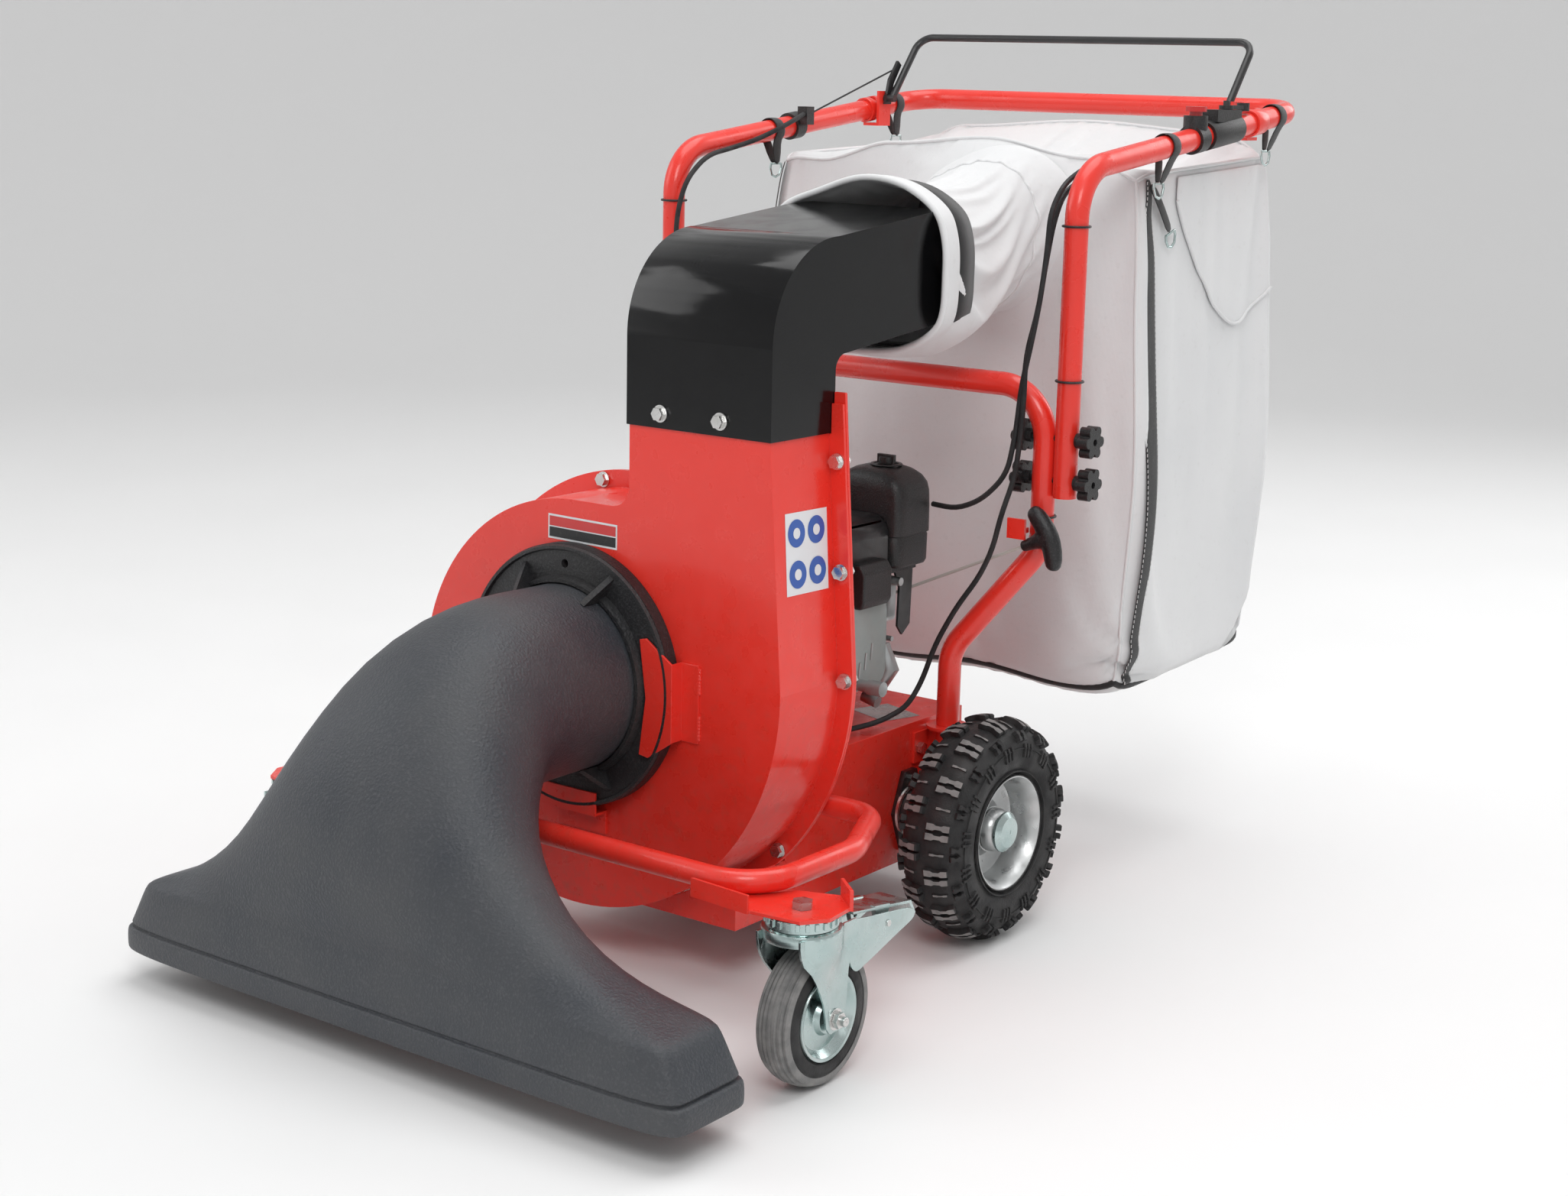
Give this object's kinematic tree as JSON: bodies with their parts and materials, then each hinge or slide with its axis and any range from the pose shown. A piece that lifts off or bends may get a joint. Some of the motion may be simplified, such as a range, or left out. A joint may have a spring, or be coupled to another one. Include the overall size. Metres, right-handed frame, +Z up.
{
  "type": "leaf vacuum mulcher",
  "caption": "Walk-behind petrol leaf vacuum mulcher with suction nozzle, red fan housing, black elbow, white bag, casters and driven wheels.",
  "frame": {"origin": "on the ground under the centre of the bounding box", "axes": "+Z up, -Y forwards to the suction nozzle, +X towards the side with the throttle"},
  "size_m": [0.812, 1.4, 1.061],
  "materials": {
    "red_paint": "gloss",
    "white_paint": "gloss",
    "black_steel": "satin",
    "gloss_black": "gloss",
    "black_plastic": "satin",
    "ring_black": "satin",
    "nozzle_grey": "grained",
    "cover_grey": "satin",
    "cast_alloy": "cast",
    "fan_steel": "worn",
    "zinc": "plated",
    "wheel_steel": "satin",
    "muffler_steel": "heat stained",
    "tyre_rubber": "worn",
    "belt_rubber": "matte",
    "cable_black": "satin",
    "cord_white": "braided",
    "button_red": "gloss",
    "bag_cloth": "woven",
    "strap_web": "webbing"
  },
  "bodies": {
    "chassis": {"air_cleaner": "black_plastic", "axle_bearings": "black_steel", "bag_straps": "strap_web", "bail_brackets": "red_paint", "cable_clips": "black_plastic", "carburettor": "cast_alloy", "caster_stems": "zinc", "chassis_box": "red_paint", "chute_elbow": "gloss_black", "clamp_bolts": "black_plastic", "collection_bag": "bag_cloth", "control_cables": "cable_black", "cooling_shroud": "black_steel", "drive_belt": "belt_rubber", "engine_crankcase": "cast_alloy", "engine_cylinder": "cast_alloy", "fan_housing": "red_paint", "frame_sockets": "red_paint", "front_bumper": "red_paint", "fuel_tank": "white_paint", "hex_bolts": "zinc", "housing_back_plate": "red_paint", "lower_frame": "red_paint", "muffler": "muffler_steel", "nozzle_clamps": "red_paint", "recoil_housing": "red_paint", "recoil_rope": "cord_white", "rope_bracket": "red_paint", "stop_switch": "black_plastic", "throttle_body": "black_plastic", "upper_handle": "red_paint", "valve_cover": "cover_grey", "wheel_gearbox": "cast_alloy"},
    "rotor": {"crankshaft": "fan_steel", "impeller": "fan_steel", "mulching_blade": "fan_steel"},
    "gearbox_input": {"gearbox_pulley": "fan_steel"},
    "nozzle": {"nozzle_hood": "nozzle_grey", "nozzle_ring": "ring_black"},
    "drive_wheels": {"drive_axle": "zinc", "drive_rims": "wheel_steel", "drive_tyres": "tyre_rubber"},
    "caster_fork_left": {"caster_fork_left": "zinc"},
    "caster_fork_right": {"caster_fork_right": "zinc"},
    "caster_wheel_left": {"caster_rim_left": "wheel_steel", "caster_tyre_left": "tyre_rubber"},
    "caster_wheel_right": {"caster_rim_right": "wheel_steel", "caster_tyre_right": "tyre_rubber"},
    "brake_pedal_left": {"caster_brake_pedal_left": "zinc"},
    "brake_pedal_right": {"caster_brake_pedal_right": "zinc"},
    "bail": {"bail_bar": "black_steel"},
    "throttle_lever": {"throttle_lever": "black_plastic"},
    "stop_button": {"stop_button": "button_red"},
    "recoil_handle": {"recoil_handle": "black_plastic"},
    "fuel_cap": {"fuel_cap": "black_plastic"},
    "air_cleaner_knob": {"air_cleaner_knob": "black_plastic"},
    "knob_low_left": {"star_knob_low_left": "black_plastic"},
    "knob_low_right": {"star_knob_low_right": "black_plastic"},
    "knob_high_left": {"star_knob_high_left": "black_plastic"},
    "knob_high_right": {"star_knob_high_right": "black_plastic"}
  },
  "joints": [
    {"name": "rotor_spin", "type": "hinge", "parent": "chassis", "child": "rotor", "pos_m": [-0.061, 0, 0.337], "axis": [0, 1, 0], "continuous": true},
    {"name": "gearbox_input_spin", "type": "hinge", "parent": "chassis", "child": "gearbox_input", "pos_m": [-0.061, 0, 0.166], "axis": [0, 1, 0], "continuous": true},
    {"name": "nozzle_lift", "type": "slide", "parent": "chassis", "child": "nozzle", "axis": [0, 0, 1], "range_m": [0, 0.14]},
    {"name": "drive_wheels_roll", "type": "hinge", "parent": "chassis", "child": "drive_wheels", "pos_m": [0, 0.046, 0.135], "axis": [1, 0, 0], "continuous": true},
    {"name": "caster_swivel_right", "type": "hinge", "parent": "chassis", "child": "caster_fork_right", "pos_m": [0.362, -0.452, 0.17], "axis": [0, 0, 1], "range_deg": [-180, 110]},
    {"name": "caster_roll_right", "type": "hinge", "parent": "caster_fork_right", "child": "caster_wheel_right", "pos_m": [0.362, -0.43, 0.075], "axis": [1, 0, 0], "continuous": true},
    {"name": "brake_press_right", "type": "hinge", "parent": "caster_fork_right", "child": "brake_pedal_right", "pos_m": [0.362, -0.34, 0.152], "axis": [-1, 0, 0], "range_deg": [0, 8]},
    {"name": "caster_swivel_left", "type": "hinge", "parent": "chassis", "child": "caster_fork_left", "pos_m": [-0.362, -0.452, 0.17], "axis": [0, 0, 1], "range_deg": [-110, 180]},
    {"name": "caster_roll_left", "type": "hinge", "parent": "caster_fork_left", "child": "caster_wheel_left", "pos_m": [-0.362, -0.43, 0.075], "axis": [1, 0, 0], "continuous": true},
    {"name": "brake_press_left", "type": "hinge", "parent": "caster_fork_left", "child": "brake_pedal_left", "pos_m": [-0.362, -0.34, 0.152], "axis": [-1, 0, 0], "range_deg": [0, 8]},
    {"name": "bail_squeeze", "type": "hinge", "parent": "chassis", "child": "bail", "pos_m": [0, 0.562, 0.971], "axis": [-1, 0, 0], "range_deg": [0, 45], "stiffness_Nm_per_rad": 1.5, "springref_deg": -28.65},
    {"name": "throttle_turn", "type": "hinge", "parent": "chassis", "child": "throttle_lever", "pos_m": [0.299, 0.486, 0.96], "axis": [0, 0, 1], "range_deg": [-20, 60]},
    {"name": "stop_press", "type": "slide", "parent": "chassis", "child": "stop_button", "axis": [0, 0, -1], "range_m": [0, 0.003], "stiffness_N_per_m": 800, "springref_m": -0.002},
    {"name": "knob_turn_low_right", "type": "hinge", "parent": "chassis", "child": "knob_low_right", "pos_m": [0.32, 0.132, 0.544], "axis": [1, 0, 0], "continuous": true},
    {"name": "knob_turn_high_right", "type": "hinge", "parent": "chassis", "child": "knob_high_right", "pos_m": [0.32, 0.132, 0.594], "axis": [1, 0, 0], "continuous": true},
    {"name": "knob_turn_low_left", "type": "hinge", "parent": "chassis", "child": "knob_low_left", "pos_m": [-0.32, 0.132, 0.544], "axis": [1, 0, 0], "continuous": true},
    {"name": "knob_turn_high_left", "type": "hinge", "parent": "chassis", "child": "knob_high_left", "pos_m": [-0.32, 0.132, 0.594], "axis": [1, 0, 0], "continuous": true},
    {"name": "starter_pull", "type": "slide", "parent": "chassis", "child": "recoil_handle", "axis": [0.9107, -0.0209, 0.4124], "range_m": [0, 0.3], "stiffness_N_per_m": 12, "springref_m": -0.1, "deforming": ["recoil_rope"]},
    {"name": "fuel_cap_turn", "type": "hinge", "parent": "chassis", "child": "fuel_cap", "pos_m": [-0.118, 0.02, 0.58], "axis": [0, 0, 1], "continuous": true},
    {"name": "cleaner_knob_turn", "type": "hinge", "parent": "chassis", "child": "air_cleaner_knob", "pos_m": [0.084, 0.075, 0.55], "axis": [0, 0, 1], "continuous": true}
  ],
  "couplings": [
    {"joint": "gearbox_input_spin", "follows": "rotor_spin", "ratio": 0.5517}
  ]
}
